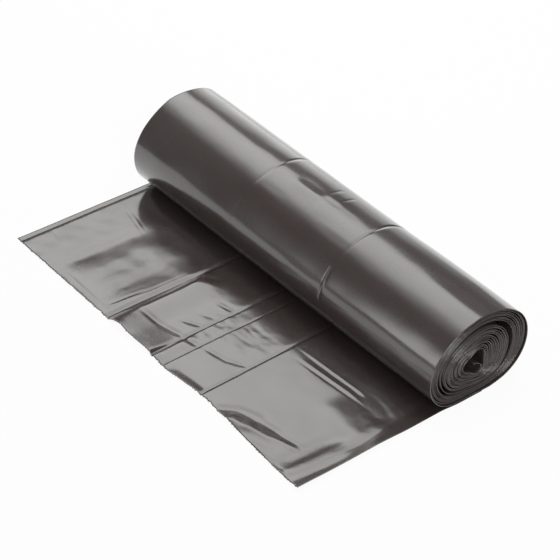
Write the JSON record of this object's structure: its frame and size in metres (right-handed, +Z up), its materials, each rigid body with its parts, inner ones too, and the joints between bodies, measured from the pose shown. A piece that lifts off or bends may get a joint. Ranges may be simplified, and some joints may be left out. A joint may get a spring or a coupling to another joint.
{
  "type": "bin bag roll",
  "caption": "Coreless roll of glossy black polythene bin bags lying on its side, wound from a folded web, with the loose end spread flat in front of it.",
  "frame": {"origin": "under the middle of the whole shape, roll and loose end together, on the surface it lies on", "axes": "+X along the roll, +Y from the loose end towards the roll, +Z up"},
  "size_m": [0.3, 0.1724, 0.0607],
  "materials": {
    "black_polythene": "thin black polythene film, glossy with a faint waxy haze, lightly creased"
  },
  "bodies": {
    "root": {"film_roll": "black_polythene"}
  },
  "joints": []
}
